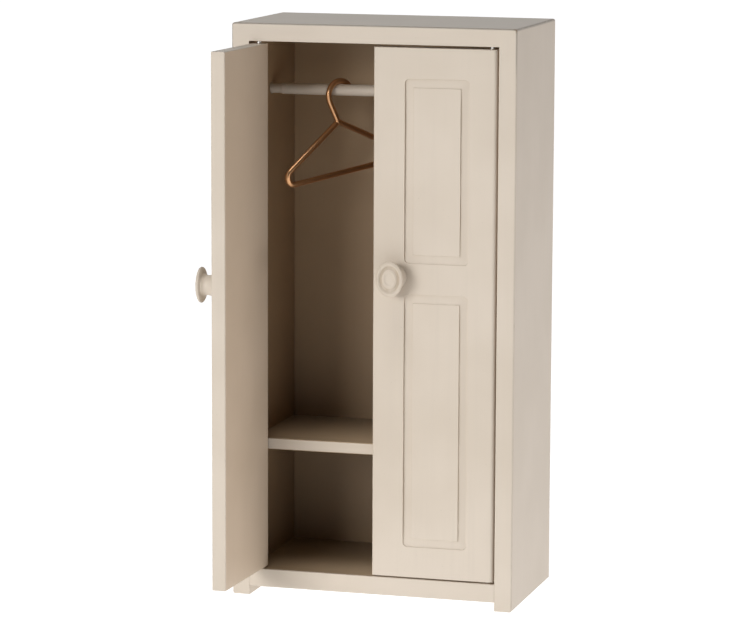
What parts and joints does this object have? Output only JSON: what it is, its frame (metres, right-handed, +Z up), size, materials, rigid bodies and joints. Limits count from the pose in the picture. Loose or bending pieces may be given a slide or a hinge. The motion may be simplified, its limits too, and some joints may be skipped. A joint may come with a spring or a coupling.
{
  "type": "miniature wardrobe",
  "caption": "Dolls-house wardrobe with panelled hinged doors, a low shelf, a hanging rail and a wire clothes hanger.",
  "frame": {"origin": "on the floor, under the middle of the carcass footprint", "axes": "+Z up, -Y towards the front (door side), +X to the viewer's right; the left door is stored standing open"},
  "size_m": [0.1024, 0.0944, 0.2],
  "materials": {
    "carcass_paint": "board with cream satin paint",
    "door_paint": "board with cream satin paint",
    "knob_paint": "cream satin paint",
    "rail_paint": "dowel with cream satin paint",
    "pin_steel": "bright steel",
    "copper_wire": "aged copper colour, satin"
  },
  "bodies": {
    "carcass": {"left_side": "carcass_paint", "right_side": "carcass_paint", "top_board": "carcass_paint", "bottom_board": "carcass_paint", "back_panel": "carcass_paint", "shelf": "carcass_paint"},
    "left_leaf": {"left_door": "door_paint", "left_knob": "knob_paint", "left_top_pin": "pin_steel", "left_bottom_pin": "pin_steel"},
    "right_leaf": {"right_door": "door_paint", "right_knob": "knob_paint", "right_top_pin": "pin_steel", "right_bottom_pin": "pin_steel"},
    "rail": {"hanging_rail": "rail_paint"},
    "clothes_hanger": {"hanger": "copper_wire"}
  },
  "joints": [
    {"name": "left_door_hinge", "type": "hinge", "parent": "carcass", "child": "left_leaf", "pos_m": [-0.04125, -0.02545, 0.1], "axis": [0, 0, -1], "range_deg": [-92, 9]},
    {"name": "right_door_hinge", "type": "hinge", "parent": "carcass", "child": "right_leaf", "pos_m": [0.04125, -0.02545, 0.1], "axis": [0, 0, 1], "range_deg": [0, 101]},
    {"name": "hanger_swing", "type": "hinge", "parent": "carcass", "child": "rail", "pos_m": [0, -0.00235, 0.1756], "axis": [-1, 0, 0], "range_deg": [-13, 1]},
    {"name": "hanger_slide", "type": "slide", "parent": "rail", "child": "clothes_hanger", "axis": [1, 0, 0], "range_m": [-0.01, 0.0465]}
  ]
}
